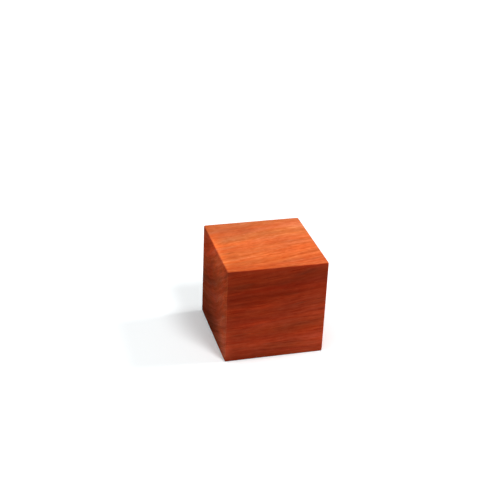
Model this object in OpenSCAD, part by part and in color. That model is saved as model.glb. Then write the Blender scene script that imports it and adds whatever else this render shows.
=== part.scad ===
// Wooden cube: a plain block of hardwood, cut from a squared stick, sanded flat on
// every face, with every arris eased by hand.
//
// X runs along the grain, Y across it and Z up. The origin is the centre of the face
// that the block stands on, and the end-grain faces are the two that look along X.
// The block is drawn about its own centre and lifted onto the origin at the end.

/* [Block] */
// Length along the grain, between the two end-grain faces
length = 50; // [20:1:100]
// Width across the grain
width = 50; // [20:1:100]
// Height above the surface that the block stands on
height = 50; // [20:1:100]

/* [Edges] */
// Radius of the eased arrises, and of the corners where three of them meet
arris_r = 0.5; // [0.2:0.1:3]

/* [Smoothness] */
// Segments round a full circle
arc_segments = 48; // [24:8:96]

/* [Hidden] */
$fn = arc_segments;

// The flat part of each face, from the middle of one arris to the middle of the next.
flats = [length, width, height] - [2, 2, 2] * arris_r;

// Which end of a direction an arris or a corner lies at.
ends = [-1, 1];

// Moves a shape onto an arris or a corner. A direction given as 0 is left centred.
module at_edge(x, y, z) {
    translate([x * flats.x, y * flats.y, z * flats.z] / 2)
        children();
}

// Three crossed slabs. The two outer sides of each are a pair of the block's faces.
module face_slabs() {
    cube([length, flats.y, flats.z], center = true);
    cube([flats.x, width, flats.z], center = true);
    cube([flats.x, flats.y, height], center = true);
}

// A rod whose skin runs smoothly into the two faces that it lies between.
module arris_rod(run) {
    cylinder(h = run, r = arris_r, center = true);
}

// The twelve arrises: four along the grain, four across it and four upright.
module arrises() {
    for (a = ends, b = ends) {
        at_edge(0, a, b) rotate([0, 90, 0]) arris_rod(flats.x);
        at_edge(a, 0, b) rotate([90, 0, 0]) arris_rod(flats.y);
        at_edge(a, b, 0) arris_rod(flats.z);
    }
}

// The eight corners: a ball closes the gap between the three rods that meet there.
module corners() {
    for (a = ends, b = ends, c = ends)
        at_edge(a, b, c) sphere(r = arris_r);
}

module wood_cube() {
    color("#bf4f2a")
        translate([0, 0, height / 2])
            union() {
                face_slabs();
                arrises();
                corners();
            }
}

wood_cube();
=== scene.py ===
"""A sanded and oiled hardwood cube on a plain white studio floor.

The block is one solid piece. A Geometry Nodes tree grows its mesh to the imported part's box, with
hand-eased arrises. Its wood is one solid pattern, growth layers round a distant pith, so that the
figure of each face runs on into its neighbours. Lengths are in metres, apart from the pattern of
the wood and half the block's side, which are in millimetres.
"""

import logging
import math
from dataclasses import dataclass
from enum import Enum
from typing import Any, Mapping, Optional, Sequence, Union

import bpy
import numpy as np
from mathutils import Matrix, Vector


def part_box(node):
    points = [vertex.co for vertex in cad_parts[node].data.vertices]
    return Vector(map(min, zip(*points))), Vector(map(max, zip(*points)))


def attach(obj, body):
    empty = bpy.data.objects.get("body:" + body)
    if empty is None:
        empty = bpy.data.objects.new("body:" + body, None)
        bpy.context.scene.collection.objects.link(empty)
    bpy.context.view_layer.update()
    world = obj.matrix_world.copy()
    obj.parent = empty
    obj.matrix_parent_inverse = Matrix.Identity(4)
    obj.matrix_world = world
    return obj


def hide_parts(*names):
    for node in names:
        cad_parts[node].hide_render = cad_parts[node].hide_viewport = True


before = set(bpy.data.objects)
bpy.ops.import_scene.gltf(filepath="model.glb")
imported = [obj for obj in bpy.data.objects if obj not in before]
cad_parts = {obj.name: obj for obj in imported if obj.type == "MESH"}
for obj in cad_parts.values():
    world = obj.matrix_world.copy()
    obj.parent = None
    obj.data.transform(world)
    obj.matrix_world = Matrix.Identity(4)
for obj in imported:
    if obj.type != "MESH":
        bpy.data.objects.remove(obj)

LOG = logging.getLogger("wooden_cube")
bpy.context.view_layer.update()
MILLIMETRE = 0.001
BLOCK_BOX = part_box("wood_cube")
HALF_SIDE = (BLOCK_BOX[1][0] - BLOCK_BOX[0][0]) / (2 * MILLIMETRE)

Pair = tuple[float, float]
Triple = tuple[float, float, float]
Colour = Triple
Value = Union["Term", float, Sequence[float]]


class Term:
    """A number or vector that one node gives out, used in sums like any other."""

    def __init__(self, graph: "Graph", socket: Optional[bpy.types.NodeSocket]) -> None:
        """Wraps a socket.

        Args:
            graph: The graph that holds the socket's node.
            socket: The output to read.
        """
        self.graph = graph
        self.socket = socket

    def __add__(self, other: Value) -> "Term":
        """Returns self + other."""
        return self.graph.maths("ADD", self, other)

    def __radd__(self, other: Value) -> "Term":
        """Returns other + self."""
        return self.graph.maths("ADD", other, self)

    def __sub__(self, other: Value) -> "Term":
        """Returns self - other."""
        return self.graph.maths("SUBTRACT", self, other)

    def __rsub__(self, other: Value) -> "Term":
        """Returns other - self."""
        return self.graph.maths("SUBTRACT", other, self)

    def __mul__(self, other: Value) -> "Term":
        """Returns self * other."""
        return self.graph.maths("MULTIPLY", self, other)

    def __rmul__(self, other: Value) -> "Term":
        """Returns other * self."""
        return self.graph.maths("MULTIPLY", other, self)

    def __truediv__(self, other: Value) -> "Term":
        """Returns self / other."""
        return self.graph.maths("DIVIDE", self, other)

    def __rtruediv__(self, other: Value) -> "Term":
        """Returns other / self."""
        return self.graph.maths("DIVIDE", other, self)

    def __pow__(self, other: Value) -> "Term":
        """Returns self to the power of other."""
        return self.graph.maths("POWER", self, other)

    def __rpow__(self, other: Value) -> "Term":
        """Returns other to the power of self."""
        return self.graph.maths("POWER", other, self)

    def __neg__(self) -> "Term":
        """Returns self * -1."""
        return self.graph.maths("MULTIPLY", self, -1.0)


class Graph:
    """Adds nodes to one shader tree or one Geometry Nodes tree."""

    def __init__(self, tree: bpy.types.NodeTree) -> None:
        """Takes a tree to add to.

        Args:
            tree: A material's, lamp's or world's node tree, or a Geometry Nodes group.
        """
        self.tree = tree

    def add(
        self,
        kind: str,
        settings: Optional[Mapping[str, Any]] = None,
        inputs: Optional[Mapping[str, Any]] = None,
        output: str = "",
    ) -> Term:
        """Adds a node and returns one of its outputs.

        Args:
            kind: The node's type.
            settings: The node's own properties, which are set first.
            inputs: A number, a vector, a thing or a Term for each named socket.
            output: The output's identifier or name. It is the first one if left out.

        Returns:
            The chosen output.
        """
        node = self.tree.nodes.new(kind)
        for name, value in (settings or {}).items():
            setattr(node, name, value)
        for name, value in (inputs or {}).items():
            socket = self.find(node.inputs, name)
            if isinstance(value, Term):
                self.tree.links.new(value.socket, socket)
            else:
                socket.default_value = value
        if output:
            return Term(self, self.find(node.outputs, output))
        return Term(self, next(iter(node.outputs), None))

    @staticmethod
    def find(sockets: Sequence[bpy.types.NodeSocket], name: str) -> bpy.types.NodeSocket:
        """Finds a socket by its identifier, or else by its name.

        Args:
            sockets: A node's inputs or outputs.
            name: What to look for.

        Returns:
            The socket.
        """
        by_identifier = [socket for socket in sockets if socket.identifier == name]
        by_name = [socket for socket in sockets if socket.name == name]
        return (by_identifier + by_name)[0]

    @staticmethod
    def is_vector(value: Value) -> bool:
        """Tells whether a value has three parts."""
        if isinstance(value, Term):
            return value.socket.type in ("VECTOR", "RGBA")
        return not isinstance(value, (int, float))

    def maths(self, operation: str, *values: Value) -> Term:
        """Adds a Math node, or a Vector Math node where any value is a vector.

        Args:
            operation: The node's operation.
            values: One to three numbers, vectors or Terms.

        Returns:
            The result.
        """
        if not any(self.is_vector(value) for value in values):
            inputs = dict(zip(("Value", "Value_001", "Value_002"), values))
            return self.add("ShaderNodeMath", {"operation": operation}, inputs)
        triples = [(value,) * 3 if isinstance(value, (int, float)) else value for value in values]
        inputs = dict(zip(("Vector", "Vector_001", "Vector_002"), triples))
        return self.add("ShaderNodeVectorMath", {"operation": operation}, inputs)

    def split(self, vector: Term) -> tuple[Term, Term, Term]:
        """Returns the three parts of a vector."""
        x_part = self.add("ShaderNodeSeparateXYZ", inputs={"Vector": vector})
        outputs = x_part.socket.node.outputs
        return x_part, Term(self, outputs["Y"]), Term(self, outputs["Z"])

    def join(self, x: Value, y: Value, z: Value) -> Term:
        """Returns the vector with these three parts."""
        return self.add("ShaderNodeCombineXYZ", inputs={"X": x, "Y": y, "Z": z})

    def spread(self, value: Value, low: float, high: float) -> Term:
        """Takes a range of values to 0 to 1 with a smooth step, and holds what lies outside it.

        Args:
            value: What to rescale.
            low: The value that becomes 0.
            high: The value that becomes 1. It may be less than low.

        Returns:
            The rescaled value.
        """
        settings = {"interpolation_type": "SMOOTHSTEP"}
        inputs = {"Value": value, "From Min": low, "From Max": high}
        return self.add("ShaderNodeMapRange", settings, inputs)

    def bell(self, place: Term, middle: Triple, reach: Triple) -> Term:
        """Adds a bell that is 1 at its middle.

        Args:
            place: Where to read it.
            middle: Its middle.
            reach: How far out it has fallen to about a third, along each axis. It may be infinite.

        Returns:
            The bell.
        """
        offset = (place - middle) * tuple(1.0 / part for part in reach)
        inputs = {"Vector": offset, "Vector_001": offset}
        squared = self.add("ShaderNodeVectorMath", {"operation": "DOT_PRODUCT"}, inputs, "Value")
        return math.exp(-1.0) ** squared

    def noise(self, place: Term, seed: Value, detail: float, rough: float = 0.5) -> Term:
        """Adds a soft noise about 0, which seldom leaves -0.3 to 0.3.

        Args:
            place: Where to read it. One unit is about the size of its largest blobs.
            seed: Which noise of its kind it is.
            detail: How many finer layers it has.
            rough: How strong the finer layers are.

        Returns:
            The noise.
        """
        inputs = {"Vector": place, "W": seed, "Scale": 1.0, "Detail": detail, "Roughness": rough}
        return self.add("ShaderNodeTexNoise", {"noise_dimensions": "4D"}, inputs, "Fac") - 0.5

    def mix(self, share: Value, first: Union[Term, Colour], second: Union[Term, Colour]) -> Term:
        """Mixes two colours.

        Args:
            share: How much of the second colour to take.
            first: A colour.
            second: Another colour.

        Returns:
            The mixed colour.
        """
        inputs = {
            "Factor_Float": share,
            "A_Color": first if isinstance(first, Term) else (*first, 1.0),
            "B_Color": second if isinstance(second, Term) else (*second, 1.0),
        }
        return self.add("ShaderNodeMix", {"data_type": "RGBA"}, inputs, "Result_Color")


@dataclass(frozen=True)
class Grain:
    """One layer of the wood's noise, stretched along the fibres.

    Attributes:
        seed: Which noise it is.
        along: How many of its largest blobs fit in a millimetre along the grain.
        ring: How many fit in a millimetre out from the pith.
        turn: How many fit in a millimetre round the pith.
        strength: What the noise is multiplied by.
        detail: How many finer layers it has.
        rough: How strong those are.
    """

    seed: float
    along: float
    ring: float
    turn: float
    strength: float = 1.0
    detail: float = 1.0
    rough: float = 0.5

    def read(self, graph: Graph, along: Term, ring: Term, turn: Term) -> Term:
        """Reads the noise at a point.

        Args:
            graph: The material's graph.
            along: The point's distance along the grain.
            ring: Its distance out from the pith, or across the block.
            turn: Its distance round the pith, or up the block.

        Returns:
            The noise, about 0.
        """
        place = graph.join(along * self.along, ring * self.ring, turn * self.turn)
        return graph.noise(place, self.seed, self.detail, self.rough) * self.strength


@dataclass(frozen=True)
class WoodPlace:
    """Where a point lies in the tree that the block was cut from, in millimetres.

    Attributes:
        graph: The material's graph.
        along: Distance along the grain.
        ring: Distance from the pith, which is the same all over one growth layer.
        turn: Distance round the pith.
        end: How far the surface cuts across the fibres, from 0 to 1.
        bark: How far it looks outwards, 0 where it faces the pith and 1 where it faces the bark.
    """

    graph: Graph
    along: Term
    ring: Term
    turn: Term
    end: Term
    bark: Term

    def grain(self, layer: Grain) -> Term:
        """Returns one layer of the wood's noise at this place."""
        return layer.read(self.graph, self.along, self.ring, self.turn)

    def shows(self, long: float, end: float) -> Term:
        """Returns one strength where the surface lies along the fibres, and one where it cuts them."""
        return self.end * (end - long) + long


@dataclass(frozen=True)
class Patches:
    """The parts of the wood where something comes up, with soft edges.

    Attributes:
        layer: The noise that they follow.
        low: The noise at which they begin.
        high: The noise at which they are full.
    """

    layer: Grain
    low: float
    high: float

    def read(self, place: WoodPlace) -> Term:
        """Returns how far a point lies in them, from 0 to 1."""
        return place.graph.spread(place.grain(self.layer), self.low, self.high)


@dataclass(frozen=True)
class Ripples:
    """Ripples that cross the grain aslant where the fibres wave.

    Attributes:
        along: How far one millimetre along the grain goes through their noise.
        ring: How far one millimetre out from the pith goes.
        turn: How far one millimetre round the pith goes.
        seed: Which noise it is.
        patches: Where the fibres wave.
        loss: How much of the ripples is lost on a face that looks towards the bark.
    """

    along: Triple = (0.16, -0.05, 0.0)
    ring: Triple = (0.42, 0.25, 0.0)
    turn: Triple = (0.0, 0.0, 0.12)
    seed: float = 12.0
    patches: Patches = Patches(Grain(11.0, 0.05, 0.12, 0.06), -0.05, 0.2)
    loss: float = 0.7

    def read(self, place: WoodPlace) -> Term:
        """Works out the ripples at a point.

        Args:
            place: The shaded point.

        Returns:
            The ripples, about 0, with none on end grain.
        """
        aslant = place.along * self.along + place.ring * self.ring + place.turn * self.turn
        ripples = place.graph.noise(aslant, self.seed, detail=1.0) * self.patches.read(place)
        return ripples * place.shows(long=1.0, end=0.0) * (1.0 - place.bark * self.loss)


@dataclass(frozen=True)
class Vessels:
    """Open vessels, which run with the fibres as tubes a quarter of a millimetre wide.

    End grain cuts them to dots, and the other faces cut them aslant, to dashes.

    Attributes:
        ring: How many there are in a millimetre out from the pith.
        turn: How many there are in a millimetre round the pith.
        wall: How far from its middle a vessel begins and is full, as a share of the space between
            vessels.
        halo: How far from its middle the paler cells round it begin and are full.
        patches: Where the vessels are strong.
        least: How strong they are elsewhere.
    """

    ring: float = 1.15
    turn: float = 1.05
    wall: Pair = (0.17, 0.10)
    halo: Pair = (0.5, 0.2)
    patches: Patches = Patches(Grain(13.0, 0.03, 0.3, 0.1), -0.2, 0.15)
    least: float = 0.4

    def read(self, place: WoodPlace) -> tuple[Term, Term]:
        """Works out the vessels at a point.

        Args:
            place: The shaded point.

        Returns:
            How much of a vessel lies there, and how much of the paler cells round one.
        """
        graph = place.graph
        tubes = graph.join(place.ring * self.ring, place.turn * self.turn, 0.0)
        settings = {"voronoi_dimensions": "2D", "feature": "F1"}
        inputs = {"Vector": tubes, "Scale": 1.0, "Randomness": 1.0}
        distance = graph.add("ShaderNodeTexVoronoi", settings, inputs, "Distance")
        strength = self.patches.read(place) * (1.0 - self.least) + self.least
        return graph.spread(distance, *self.wall) * strength, graph.spread(distance, *self.halo)


@dataclass(frozen=True)
class Marks:
    """The finest marks of the wood at one point.

    Attributes:
        fibres: The fibres.
        rays: The rays.
        pores: The open vessels.
        halos: The paler cells round the vessels.
        ripples: The ripples where the fibres wave.
    """

    fibres: Term
    rays: Term
    pores: Term
    halos: Term
    ripples: Term

    def weigh(self, **shares: Union[Term, float]) -> Term:
        """Adds the marks up.

        Args:
            **shares: How much of each named mark to take.

        Returns:
            The sum.
        """
        parts = [getattr(self, name) * share for name, share in shares.items()]
        return sum(parts[1:], parts[0])


class Tint(Enum):
    """What a stain does to the wood: how fast red, green and blue fall as it deepens."""

    DARK = (0.80, 1.0, 1.15)
    LINE = (0.38, 1.0, 1.58)
    AMBER = (0.10, 0.50, 1.0)
    RED = (0.0, 1.0, 0.60)
    BROWN = (1.0, 0.75, 0.55)
    GREY = (1.0, 0.40, 0.0)
    WARM = (-0.7, -0.2, 0.7)


@dataclass(frozen=True)
class Stain:
    """A band or patch of deeper colour in the heartwood, or a paler one where its depth is negative.

    Attributes:
        middle: Its middle, in millimetres along the grain, out from the pith and round the pith.
        reach: How far it reaches each way.
        depth: How deep it is in the middle.
        tint: What it does to the wood.
    """

    middle: Triple
    reach: Triple
    depth: float
    tint: Tint


def band(ring: float, width: float, depth: float, tint: Tint = Tint.LINE) -> Stain:
    """Returns a stain that follows one growth layer through the whole block."""
    return Stain((0.0, ring, 0.0), (math.inf, width, math.inf), depth, tint)


def end_patch(ring: float, turn: float, width: float, length: float, depth: float, tint: Tint) -> Stain:
    """Returns a stain that lies at the left end and is lost a few millimetres in from it."""
    inwards = 3.5
    return Stain((-HALF_SIDE, ring, turn), (inwards, width, length), depth, tint)


@dataclass(frozen=True)
class Figure:
    """The figure of the wood, from its broad bands down to its strands.

    Attributes:
        painted_shade_ring: The distances from the pith between which painted shade deepens the wood. It is
            a neutral darkening that stands for the shade on the lower back of the left end.
        painted_shade_turn: The distances round the pith between which that painted shade deepens.
        drift: How much paler it grows for each millimetre along the grain.
        broad: The slow change of depth from growth layer to growth layer.
        layers: The growth layers.
        strands: Strands of deeper and paler fibres.
        mottle: Short cloudy patches on long grain.
        strays: Where a brown strand strays in.
        stray_depth: How deep it is.
        hue: Redder and less red parts.
        warmth: Yellower and less yellow parts.
        fade: How the bands come and go.
        stains: The heartwood's bands and patches. Two patches at the foot of the left end are painted
            shade, and three paler patches along the back of the top are partly painted sheen.
    """

    painted_shade_ring: Pair = (100.0, 140.0)
    painted_shade_turn: Pair = (86.0, 36.0)
    drift: float = 0.003
    broad: Grain = Grain(3.0, 0.012, 0.11, 0.025, strength=0.7)
    layers: Grain = Grain(4.0, 0.03, 0.5, 0.022, detail=2.0)
    strands: Grain = Grain(5.0, 0.06, 1.4, 0.12, detail=2.0)
    mottle: Grain = Grain(15.0, 0.3, 0.7, 0.4)
    strays: Patches = Patches(Grain(10.0, 0.055, 0.75, 0.07, detail=3.0, rough=0.6), 0.06, 0.30)
    stray_depth: float = 0.45
    hue: Grain = Grain(9.0, 0.02, 0.2, 0.05, strength=0.6)
    warmth: Grain = Grain(14.0, 0.05, 0.4, 0.12, strength=0.8, detail=2.0)
    fade: Grain = Grain(6.0, 0.03, 0.08, 0.04, strength=1.6)
    stains: tuple[Stain, ...] = (
        band(97.8, 1.4, 0.10),
        band(100.4, 1.7, -0.22),
        band(110.9, 0.5, 0.22),
        band(113.2, 1.2, -0.10, Tint.DARK),
        band(115.6, 0.5, 0.16),
        band(118.4, 2.0, 0.15),
        band(127.0, 1.1, 0.10, Tint.GREY),
        band(129.5, 5.5, 0.42, Tint.DARK),
        band(132.0, 1.2, 0.20),
        band(153.4, 1.8, -0.15, Tint.DARK),
        Stain((-8.0, 97.9, 58.0), (7.0, 1.6, 9.0), 0.15, Tint.LINE),
        Stain((0.0, 95.5, 55.0), (30.0, 2.5, 12.0), 0.22, Tint.GREY),
        # Partly painted sheen: these three paler, bluer patches lie along the back of the top, most
        # towards the right, where that face catches the most reflection. The rest of them is wood tone.
        Stain((-14.0, 95.8, 55.0), (12.0, 3.0, 12.0), -0.38, Tint.AMBER),
        Stain((24.0, 99.0, 54.0), (8.0, 3.0, 12.0), -0.36, Tint.AMBER),
        Stain((20.0, 101.5, 67.0), (13.0, 4.0, 18.0), -0.16, Tint.AMBER),
        Stain((-12.0, 106.6, 77.0), (6.0, 3.0, 8.0), -0.12, Tint.LINE),
        Stain((-12.0, 111.4, 86.0), (7.0, 3.0, 8.0), -0.13, Tint.DARK),
        Stain((13.0, 113.5, 85.0), (12.0, 3.0, 9.0), 0.20, Tint.AMBER),
        Stain((-18.0, 111.0, 85.0), (14.0, 9.0, 22.0), 0.18, Tint.AMBER),
        Stain((-10.0, 117.5, 94.0), (8.0, 2.5, 10.0), -0.15, Tint.LINE),
        Stain((-14.0, 130.0, 88.0), (26.0, 14.0, 14.0), 0.34, Tint.AMBER),
        Stain((-18.0, 126.0, 92.0), (6.0, 2.2, 8.0), 0.20, Tint.BROWN),
        Stain((-13.0, 123.0, 94.0), (14.0, 3.5, 10.0), 0.16, Tint.LINE),
        Stain((14.0, 125.0, 91.0), (8.0, 0.9, 8.0), 0.30, Tint.BROWN),
        Stain((21.0, 127.4, 92.0), (9.0, 4.0, 10.0), -0.15, Tint.DARK),
        Stain((-4.0, 132.0, 87.0), (12.0, 3.0, 8.0), 0.14, Tint.DARK),
        Stain((-10.0, 147.5, 77.0), (8.0, 3.0, 8.0), 0.18, Tint.AMBER),
        Stain((-19.0, 147.0, 77.0), (4.0, 0.8, 8.0), 0.24, Tint.BROWN),
        Stain((3.0, 147.5, 77.0), (10.0, 2.5, 8.0), 0.18, Tint.DARK),
        Stain((14.0, 146.5, 77.0), (7.0, 0.8, 8.0), 0.22, Tint.BROWN),
        Stain((22.0, 151.2, 72.0), (11.0, 4.0, 14.0), -0.28, Tint.DARK),
        Stain((-21.0, 139.5, 82.0), (6.0, 3.5, 8.0), 0.18, Tint.LINE),
        Stain((-15.0, 143.6, 79.0), (13.0, 1.1, 8.0), -0.32, Tint.BROWN),
        Stain((14.0, 144.8, 79.0), (9.0, 1.1, 8.0), 0.24, Tint.BROWN),
        Stain((15.0, 148.8, 75.0), (13.0, 1.3, 8.0), 0.30, Tint.LINE),
        Stain((15.0, 140.5, 81.0), (12.0, 7.0, 10.0), -0.20, Tint.LINE),
        Stain((-21.0, 155.0, 72.0), (6.0, 3.0, 8.0), 0.22, Tint.DARK),
        Stain((9.0, 152.1, 74.0), (14.0, 0.9, 8.0), -0.24, Tint.DARK),
        Stain((-10.0, 151.8, 74.0), (9.0, 1.0, 8.0), -0.32, Tint.LINE),
        Stain((3.0, 154.8, 71.5), (10.0, 3.5, 8.0), 0.13, Tint.GREY),
        Stain((8.0, 156.5, 71.5), (16.0, 1.3, 8.0), 0.20, Tint.RED),
        Stain((20.0, 154.1, 71.0), (9.0, 4.0, 8.0), -0.40, Tint.AMBER),
        Stain((-13.0, 159.5, 70.0), (18.0, 2.4, 14.0), 0.32, Tint.BROWN),
        end_patch(108.0, 50.0, 2.6, 12.0, 0.22, Tint.LINE),
        end_patch(110.5, 84.0, 3.4, 13.0, -0.42, Tint.DARK),
        end_patch(103.0, 69.0, 4.8, 16.0, -0.38, Tint.BROWN),
        end_patch(100.0, 58.0, 6.0, 12.0, 0.36, Tint.AMBER),
        end_patch(118.0, 89.0, 5.0, 10.0, -0.18, Tint.DARK),
        end_patch(137.0, 76.0, 12.0, 10.0, -0.22, Tint.LINE),
        end_patch(122.0, 56.0, 10.0, 9.0, 0.18, Tint.RED),
        # Painted shade: a darker patch in the bottom few millimetres of the left end, standing for the
        # shade where that face meets the floor.
        end_patch(141.0, 46.0, 7.0, 11.0, 0.16, Tint.BROWN),
        end_patch(151.5, 70.0, 7.5, 9.0, -0.34, Tint.DARK),
        end_patch(114.0, 64.0, 5.0, 9.0, 0.18, Tint.LINE),
        # Painted shade: a darker patch in the bottom few millimetres of the left end, standing for the
        # shade where that face meets the floor.
        end_patch(144.0, 51.0, 6.0, 10.0, 0.28, Tint.BROWN),
        end_patch(152.0, 69.0, 5.0, 6.0, -0.18, Tint.LINE),
        end_patch(119.8, 58.0, 1.7, 45.0, 0.36, Tint.GREY),
        end_patch(146.0, 58.0, 11.0, 26.0, -0.18, Tint.AMBER),
    )

    def read(self, place: WoodPlace) -> Term:
        """Works out how deep the colour is at a point.

        Args:
            place: The shaded point.

        Returns:
            How far red, green and blue have fallen from the middle tone.
        """
        graph = place.graph
        broad = place.grain(self.broad) - place.along * self.drift
        layers = place.grain(self.layers) * place.shows(long=0.8, end=1.4)
        mottle = place.grain(self.mottle) * place.shows(long=0.6, end=0.0)
        stray = self.strays.read(place) * self.stray_depth
        # Painted shade: a neutral darkening that grows towards the lower back of the left end, where that
        # face lies in shade. It reaches the lower back and base faces too, and is weaker on long grain.
        painted_shade = graph.spread(place.turn, *self.painted_shade_turn) * graph.spread(place.ring, *self.painted_shade_ring)
        depth = graph.mix(place.bark, Tint.LINE.value, Tint.DARK.value) * layers
        depth = depth + (place.grain(self.strands) + mottle) * Tint.LINE.value
        depth = depth + broad * Tint.DARK.value + stray * Tint.BROWN.value
        depth = depth + place.grain(self.warmth) * Tint.WARM.value + place.grain(self.hue) * Tint.RED.value
        return depth + painted_shade * place.shows(long=0.35, end=0.9) + self.stained(place)

    def stained(self, place: WoodPlace) -> Term:
        """Works out how deep the bands and patches are at a point.

        Args:
            place: The shaded point.

        Returns:
            How far they have lowered red, green and blue.
        """
        graph = place.graph
        here = graph.join(place.along, place.ring, place.turn)
        fade = (place.grain(self.fade) + 1.0) * place.shows(long=1.0, end=0.2)
        falls = []
        for stain in self.stains:
            bell = graph.bell(here, stain.middle, stain.reach)
            if math.isinf(stain.reach[0]):
                bell = bell * fade
            falls.append(bell * tuple(stain.depth * part for part in stain.tint.value))
        return sum(falls[1:], falls[0])


@dataclass(frozen=True)
class OiledHardwood:
    """A coarse-pored, orange-red hardwood, sanded and oiled to a low satin.

    Attributes:
        orange: The middle tone of a face that looks towards the pith.
        red: The middle tone of a face that looks towards the bark, here the front and the base. It is
            darker and redder than orange partly as wood tone and partly as painted shade on the front,
            which lies in shade.
        end: The middle tone of a face that cuts across the fibres.
        end_grain: How squarely a face cuts the fibres where its end grain begins to show, and where
            it shows fully.
        bark_side: How squarely a face looks towards the bark where it begins to redden, and where
            it is fully red.
        pith: Where the pith passes the middle of the block, in millimetres across the grain and up.
        lean: How far the pith moves across and up for each millimetre along the grain.
        flare: How much that rise eases off for each millimetre below the top of the block.
        slow_wander: How far the growth layers stray in long waves, in millimetres.
        brisk_wander: How far they stray in short ones.
        figure: The figure.
        fibres: The finest lines, about a quarter of a millimetre wide.
        rays: The rays, which are hair lines out from the pith on end grain and flecks elsewhere.
        vessels: The open vessels.
        ripples: The ripples.
        roughness: The mean roughness of a face that lies along the grain.
        end_roughness: The mean roughness of a face that cuts across the fibres.
        relief: How deep an open vessel is.
        oil: How strongly the oil shines on a face that lies along the grain.
        oil_roughness: How rough the coat of oil is.
    """

    orange: Colour = (0.657, 0.1405, 0.0382)
    red: Colour = (0.54, 0.0585, 0.0165)
    end: Colour = (0.82, 0.128, 0.046)
    end_grain: Pair = (0.2, 0.9)
    bark_side: Pair = (-0.5, 0.5)
    pith: Pair = (58.75, 138.4)
    lean: Pair = (0.03, 0.096)
    flare: float = 0.002
    slow_wander: Grain = Grain(1.0, 0.012, 0.035, 0.035, strength=6.0)
    brisk_wander: Grain = Grain(2.0, 0.035, 0.14, 0.14, strength=1.8, detail=2.0)
    figure: Figure = Figure()
    fibres: Grain = Grain(7.0, 0.13, 3.8, 3.0, detail=2.0, rough=0.6)
    rays: Grain = Grain(8.0, 1.6, 0.15, 4.0)
    vessels: Vessels = Vessels()
    ripples: Ripples = Ripples()
    roughness: float = 0.46
    end_roughness: float = 0.58
    relief: float = 0.05 * MILLIMETRE
    oil: float = 0.10
    oil_roughness: float = 0.42

    def build(self) -> bpy.types.Material:
        """Makes the material.

        Returns:
            The finished material.
        """
        material = bpy.data.materials.new("oiled_hardwood")
        material.use_nodes = True
        material.node_tree.nodes.clear()
        graph = Graph(material.node_tree)
        place = self.place(graph)
        pores, halos = self.vessels.read(place)
        marks = Marks(
            fibres=place.grain(self.fibres),
            rays=place.grain(self.rays),
            pores=pores,
            halos=halos,
            ripples=self.ripples.read(place),
        )
        lines = marks.weigh(
            fibres=place.shows(long=1.0, end=0.5),
            rays=place.shows(long=-0.2, end=-0.65),
            pores=place.shows(long=0.55, end=0.75),
            halos=place.shows(long=-0.03, end=-0.2),
            ripples=0.4,
        )
        height = marks.weigh(fibres=0.3, rays=0.25, pores=-1.0)
        relief = {"Strength": 1.0, "Distance": self.relief, "Height": height}
        shine = marks.weigh(fibres=1.2, rays=0.3, pores=-0.5, ripples=-1.2) + 1.0
        shine = graph.maths("MAXIMUM", shine, 0.0) * place.shows(long=self.oil, end=0.0)
        roughness = place.shows(long=self.roughness, end=self.end_roughness)
        surface_inputs = {
            "Base Color": self.colour(place, lines),
            "Roughness": roughness + marks.weigh(fibres=0.12, pores=0.2),
            "Specular IOR Level": 0.0,
            "Coat Weight": shine,
            "Coat Roughness": self.oil_roughness,
            "Normal": graph.add("ShaderNodeBump", inputs=relief),
        }
        surface = graph.add("ShaderNodeBsdfPrincipled", inputs=surface_inputs)
        graph.add("ShaderNodeOutputMaterial", inputs={"Surface": surface})
        return material

    def place(self, graph: Graph) -> WoodPlace:
        """Works out where the shaded point lies in the tree.

        Args:
            graph: The material's graph.

        Returns:
            The place, with the wander of the layers added.
        """
        coordinates = graph.add("ShaderNodeTexCoord", output="Object") * (1.0 / MILLIMETRE)
        along, across, up = graph.split(coordinates)
        from_across = across - self.pith[0] - along * self.lean[0]
        eased = (along + HALF_SIDE) * (2 * HALF_SIDE - up) * self.flare
        from_up = up - self.pith[1] - along * self.lean[1] + eased
        slow = self.slow_wander.read(graph, along, across, up)
        brisk = self.brisk_wander.read(graph, along, across, up)
        radius = graph.maths("SQRT", from_across * from_across + from_up * from_up)
        mean_radius = math.hypot(self.pith[0], self.pith[1] - HALF_SIDE)
        turn = graph.maths("ARCTAN2", -from_across, -from_up) * mean_radius
        facing = graph.add("ShaderNodeAttribute", {"attribute_name": "facing"}, output="Vector")
        facing_along, facing_across, facing_up = graph.split(facing)
        end = graph.spread(graph.maths("ABSOLUTE", facing_along), *self.end_grain)
        outward = (facing_across * from_across + facing_up * from_up) / radius
        bark = graph.spread(outward, *self.bark_side)
        return WoodPlace(graph, along, radius + slow + brisk, turn, end, bark)

    def colour(self, place: WoodPlace, lines: Term) -> Term:
        """Turns the depths of stain into the wood's colour.

        Args:
            place: The shaded point.
            lines: The depth of the finest lines.

        Returns:
            The colour.
        """
        graph = place.graph
        # The red tone on faces towards the bark is partly painted shade: a darker, redder copy of the wood
        # for the shaded front.
        tone = graph.mix(place.bark, self.orange, self.red)
        tone = graph.mix(place.end, tone, self.end)
        depth = self.figure.read(place) + lines * Tint.LINE.value
        return graph.maths("MULTIPLY", tone, math.exp(-1.0) ** depth)


class Side(Enum):
    """The six faces, each with its axis, its direction along it and its cell in the face map.

    Axis 0 is along the grain, 1 across it and 2 up. A cell is a column and a row.
    """

    LEFT_END = (0, -1, 0, 0)
    RIGHT_END = (0, 1, 0, 1)
    FRONT = (1, -1, 1, 0)
    BACK = (1, 1, 1, 1)
    BASE = (2, -1, 2, 0)
    TOP = (2, 1, 2, 1)


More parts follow.
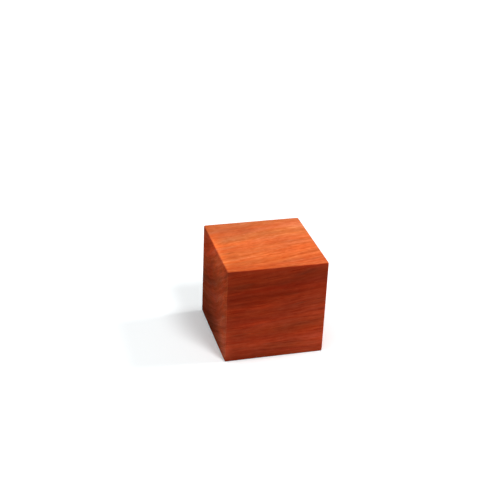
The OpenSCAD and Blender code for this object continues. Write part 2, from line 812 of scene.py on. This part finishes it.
@dataclass
class SandedBlock:
    """The block: its sizes, its mesh and its finish.

    Attributes:
        low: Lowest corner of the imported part.
        high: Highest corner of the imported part.
        arris: Mean radius of the eased arrises.
        wander: How far that radius strays from its mean, as a share of it.
        roll_off: How far sanding has lowered a face where it meets an arris.
        face_rows: Rows of mesh across the flat of each side, finer towards the arrises.
        arris_rows: Rows of mesh across half of an arris.
        seed: Which way the arris radius wanders.
        cell_gap: Bare strip round each face in the map, as a share of the map.
        finish: The wood.
    """

    low: Vector
    high: Vector
    arris: float = 0.45 * MILLIMETRE
    wander: float = 0.8
    roll_off: float = 0.03 * MILLIMETRE
    face_rows: int = 44
    arris_rows: int = 5
    seed: float = 11.0
    cell_gap: float = 0.004
    finish: OiledHardwood = OiledHardwood()

    def build(self) -> bpy.types.Object:
        """Makes the block and dresses it.

        Returns:
            The finished piece.
        """
        mesh = self.grown_mesh()
        self.lay_out_faces(mesh)
        block = bpy.data.objects.new("sanded_block", mesh)
        bpy.context.scene.collection.objects.link(block)
        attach(block, "root")
        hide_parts("wood_cube")
        return block

    def grown_mesh(self) -> bpy.types.Mesh:
        """Runs the Geometry Nodes tree and keeps what it makes.

        Returns:
            A plain mesh that wears the finish.
        """
        rows = self.face_rows + 2 * self.arris_rows
        values = {
            "Size": self.high - self.low,
            "Middle": (self.low + self.high) / 2,
            "Arris Radius": self.arris,
            "Arris Wander": self.wander,
            "Roll Off": self.roll_off,
            "Vertices": rows + 1,
            "Flat Share": self.face_rows / rows,
            "Seed": self.seed,
            "Finish": self.finish.build(),
        }
        tree = self.growing_tree()
        holder = bpy.data.objects.new("block_holder", bpy.data.meshes.new("block_holder"))
        bpy.context.scene.collection.objects.link(holder)
        modifier = holder.modifiers.new("growing", "NODES")
        modifier.node_group = tree
        for item in tree.interface.items_tree:
            if item.in_out == "INPUT":
                modifier[item.identifier] = values[item.name]
        depsgraph = bpy.context.evaluated_depsgraph_get()
        mesh = bpy.data.meshes.new_from_object(holder.evaluated_get(depsgraph))
        mesh.name = "sanded_block"
        bpy.data.objects.remove(holder)
        return mesh

    @staticmethod
    def growing_tree() -> bpy.types.NodeTree:
        """Builds the tree that turns a grid cube into a block with eased arrises.

        Returns:
            The Geometry Nodes group.
        """
        tree = bpy.data.node_groups.new("eased_block", "GeometryNodeTree")
        sockets = {
            "Size": "NodeSocketVector",
            "Middle": "NodeSocketVector",
            "Arris Radius": "NodeSocketFloat",
            "Arris Wander": "NodeSocketFloat",
            "Roll Off": "NodeSocketFloat",
            "Vertices": "NodeSocketInt",
            "Flat Share": "NodeSocketFloat",
            "Seed": "NodeSocketFloat",
            "Finish": "NodeSocketMaterial",
        }
        for name, kind in sockets.items():
            tree.interface.new_socket(name, in_out="INPUT", socket_type=kind)
        tree.interface.new_socket("Geometry", in_out="OUTPUT", socket_type="NodeSocketGeometry")
        graph = Graph(tree)
        group = graph.add("NodeGroupInput").socket.node
        given = {name: Term(graph, group.outputs[name]) for name in sockets}
        counts = {f"Vertices {side}": given["Vertices"] for side in "XYZ"}
        grid = graph.add("GeometryNodeMeshCube", inputs={"Size": (2.0, 2.0, 2.0)} | counts)
        place, outward = SandedBlock.eased(graph, given)
        inputs = {"Geometry": grid, "Name": "facing", "Value": outward}
        settings = {"data_type": "FLOAT_VECTOR", "domain": "POINT"}
        marked = graph.add("GeometryNodeStoreNamedAttribute", settings, inputs)
        inputs = {"Geometry": marked, "Position": place}
        shape = graph.add("GeometryNodeSetPosition", inputs=inputs)
        shape = graph.add("GeometryNodeSetShadeSmooth", inputs={"Geometry": shape})
        shape = graph.add("GeometryNodeRealizeInstances", inputs={"Geometry": shape})
        inputs = {"Geometry": shape, "Material": given["Finish"]}
        shape = graph.add("GeometryNodeSetMaterial", inputs=inputs)
        graph.add("NodeGroupOutput", inputs={"Geometry": shape})
        return tree

    @staticmethod
    def eased(graph: Graph, given: Mapping[str, Term]) -> tuple[Term, Term]:
        """Works out where each point of the grid cube goes.

        It goes to a point of a smaller core box, and from there outwards by the arris radius, so
        that flats stay flat, arrises are rods and corners are balls.

        Args:
            graph: The tree's graph.
            given: The tree's inputs.

        Returns:
            Where the point goes, and which way it lies outwards of the core box.
        """
        row_grading = 1.7
        edge_fall = 24.0
        stray_scale = 2.5
        point = graph.add("GeometryNodeInputPosition")
        sign = graph.maths("SIGN", point)
        reach = graph.maths("ABSOLUTE", point)
        flat_share = given["Flat Share"]

        turned = graph.maths("MAXIMUM", reach - flat_share, 0.0)
        angle = turned * (math.radians(45.0) / (1.0 - flat_share))
        outward = graph.maths("NORMALIZE", sign * graph.maths("TANGENT", angle))

        held = 1.0 - graph.maths("MAXIMUM", 1.0 - reach / flat_share, 0.0) ** row_grading
        first, second, third = graph.split(held ** edge_fall)
        beside = graph.join(second + third, first + third, first + second)

        stray = graph.noise(point * stray_scale, given["Seed"], detail=3.0)
        radius = given["Arris Radius"] * (stray * given["Arris Wander"] + 1.0)
        half = given["Size"] * 0.5
        core = half - radius - beside * given["Roll Off"]
        place = sign * held * core + outward * radius
        place = graph.maths("MAXIMUM", graph.maths("MINIMUM", place, half), -half) + given["Middle"]
        return place, outward

    def lay_out_faces(self, mesh: bpy.types.Mesh) -> None:
        """Gives each side of the block its own cell of a flat map, three across and two up.

        Args:
            mesh: The block's mesh.
        """
        corner_count = len(mesh.loops)
        vertex = np.empty(corner_count, np.int32)
        mesh.loops.foreach_get("vertex_index", vertex)
        points = np.empty(len(mesh.vertices) * 3, np.float32)
        mesh.vertices.foreach_get("co", points)
        low, high = np.array(self.low), np.array(self.high)
        shares = (points.reshape(-1, 3) - low) / (high - low)
        centres = np.empty(len(mesh.polygons) * 3, np.float32)
        mesh.polygons.foreach_get("center", centres)
        looks = (centres.reshape(-1, 3) - low) / (high - low) - 0.5
        counts = np.empty(len(mesh.polygons), np.int32)
        mesh.polygons.foreach_get("loop_total", counts)
        corner_looks = np.repeat(looks, counts, axis=0)
        columns, rows = 3, 2
        cell = np.array([1.0 / columns, 1.0 / rows])
        places = np.empty((corner_count, 2), np.float32)
        for side in Side:
            axis, sign, column, row = side.value
            across, up = (other for other in range(3) if other != axis)
            ours = (np.abs(corner_looks).argmax(1) == axis) & (corner_looks[:, axis] * sign > 0)
            on_face = shares[vertex[ours]][:, [across, up]]
            corner = np.array([column, row]) * cell + self.cell_gap
            places[ours] = corner + on_face * (cell - 2 * self.cell_gap)
        layer = mesh.uv_layers.new(name="OFBake")
        layer.uv.foreach_set("vector", places.ravel())


@dataclass(frozen=True)
class PaperFloor:
    """A matt white floor that shows as plain white and keeps the block's shadow.

    Attributes:
        seen: How much red, green and blue it gives back to the camera, past 1 as for overexposed
            paper, and a little cool, which evens out the red that the block throws on it.
        bounce: How much light it gives back to the block.
    """

    seen: Colour = (1.0, 1.04, 1.05)
    bounce: float = 0.30

    def build(self) -> bpy.types.Material:
        """Makes the material.

        Returns:
            The finished material.
        """
        material = bpy.data.materials.new("white_paper")
        material.use_nodes = True
        material.node_tree.nodes.clear()
        graph = Graph(material.node_tree)
        tone = graph.mix(shown_rays(graph), (self.bounce,) * 3, self.seen)
        paper = graph.add("ShaderNodeBsdfDiffuse", inputs={"Color": tone})
        graph.add("ShaderNodeOutputMaterial", inputs={"Surface": paper})
        return material


def shown_rays(graph: Graph) -> Term:
    """Tells the rays that show a thing, seen or mirrored, from those that only light others.

    Args:
        graph: A material's or world's graph.

    Returns:
        1 for a camera, glossy or transmission ray, and 0 for any other.
    """
    path = graph.add("ShaderNodeLightPath").socket.node
    kinds = ("Is Camera Ray", "Is Glossy Ray", "Is Transmission Ray")
    camera, glossy, through = (Term(graph, path.outputs[kind]) for kind in kinds)
    return graph.maths("MAXIMUM", graph.maths("MAXIMUM", camera, glossy), through)


@dataclass(frozen=True)
class SoftLamp:
    """A distant lamp as wide as a studio softbox looks from the floor.

    Attributes:
        name: What it is for.
        heading: Where it stands, in degrees anticlockwise from the +X end, seen from above.
        height: How high it stands, in degrees above the floor.
        width: How wide it looks, in degrees.
        power: Its light on a sheet that faces it, where pi shows a colour as it is written.
    """

    name: str
    heading: float
    height: float
    width: float
    power: float

    def build(self) -> bpy.types.Object:
        """Makes the lamp.

        Returns:
            The lamp.
        """
        light = bpy.data.lights.new(self.name, "SUN")
        light.energy = self.power
        light.angle = math.radians(self.width)
        lamp = bpy.data.objects.new(self.name, light)
        turn = Matrix.Rotation(math.radians(self.heading), 4, "Z")
        tilt = Matrix.Rotation(math.radians(90.0 - self.height), 4, "Y")
        lamp.matrix_world = turn @ tilt
        bpy.context.scene.collection.objects.link(lamp)
        return lamp


@dataclass
class Studio:
    """The floor, the lamps and the white surround.

    Attributes:
        floor_reach: How far the floor runs from the block, each way.
        floor: The floor's finish.
        lamps: The lamps.
    """

    floor_reach: float = 30.0
    floor: PaperFloor = PaperFloor()
    lamps: tuple[SoftLamp, ...] = (
        SoftLamp("key", heading=0.0, height=44.0, width=12.0, power=1.24),
        SoftLamp("front", heading=-66.0, height=54.0, width=16.0, power=1.34),
        SoftLamp("fill", heading=171.0, height=73.0, width=52.0, power=1.38),
        SoftLamp("ceiling", heading=0.0, height=90.0, width=90.0, power=0.53),
    )

    def build(self) -> bpy.types.Object:
        """Makes the whole studio.

        Returns:
            The floor.
        """
        for lamp in self.lamps:
            lamp.build()
        self.light_world()
        return self.lay_floor()

    def light_world(self) -> None:
        """Makes the surround, which is white to look at and sheds no light of its own."""
        world = bpy.data.worlds.new("white_surround")
        world.use_nodes = True
        world.node_tree.nodes.clear()
        graph = Graph(world.node_tree)
        white = {"Color": (1.0, 1.0, 1.0, 1.0), "Strength": shown_rays(graph)}
        background = graph.add("ShaderNodeBackground", inputs=white)
        graph.add("ShaderNodeOutputWorld", inputs={"Surface": background})
        bpy.context.scene.world = world

    def lay_floor(self) -> bpy.types.Object:
        """Makes the floor.

        Returns:
            The floor.
        """
        reach = self.floor_reach
        corners = [(-reach, -reach, 0.0), (reach, -reach, 0.0), (reach, reach, 0.0), (-reach, reach, 0.0)]
        mesh = bpy.data.meshes.new("floor")
        mesh.from_pydata(corners, [], [(0, 1, 2, 3)])
        mesh.materials.append(self.floor.build())
        floor = bpy.data.objects.new("floor", mesh)
        bpy.context.scene.collection.objects.link(floor)
        return floor


@dataclass(frozen=True)
class Viewpoint:
    """Where the camera stands, and how it is turned, in degrees.

    Attributes:
        place: The camera's place.
        heading: Its turn to the left of looking along +Y.
        dip: How far it looks down.
        roll: Its turn about its own line of sight, anticlockwise.
        lens: Its focal length, in millimetres.
        sensor: How wide the picture is behind the lens, in millimetres.
        nearest: The nearest thing it shows, in metres.
    """

    place: Triple = (-0.1377, -0.4448, 0.2913)
    heading: float = -16.33
    dip: float = 27.79
    roll: float = 2.58
    lens: float = 76.8
    sensor: float = 36.0
    nearest: float = 0.01

    def build(self) -> bpy.types.Object:
        """Makes the camera and looks through it.

        Returns:
            The camera.
        """
        lens = bpy.data.cameras.new("camera")
        lens.lens = self.lens
        lens.sensor_width = self.sensor
        lens.clip_start = self.nearest
        camera = bpy.data.objects.new("camera", lens)
        turns = (("Z", self.heading), ("X", 90.0 - self.dip), ("Z", self.roll))
        matrix = Matrix.Translation(self.place)
        for axis, degrees in turns:
            matrix = matrix @ Matrix.Rotation(math.radians(degrees), 4, axis)
        camera.matrix_world = matrix
        bpy.context.scene.collection.objects.link(camera)
        bpy.context.scene.camera = camera
        return camera


def main() -> None:
    """Builds the camera, the studio and the block, in that order."""
    logging.basicConfig(level=logging.INFO, format="%(name)s: %(message)s")
    bpy.context.scene.view_settings.view_transform = "Standard"
    camera = Viewpoint().build()
    LOG.info("%s with a %.1f mm lens", camera.name, camera.data.lens)
    studio = Studio()
    floor = studio.build()
    LOG.info("%s and %d lamps", floor.name, len(studio.lamps))
    block = SandedBlock(*BLOCK_BOX).build()
    LOG.info("%s with %d faces", block.name, len(block.data.polygons))


if __name__ == "__main__":
    main()
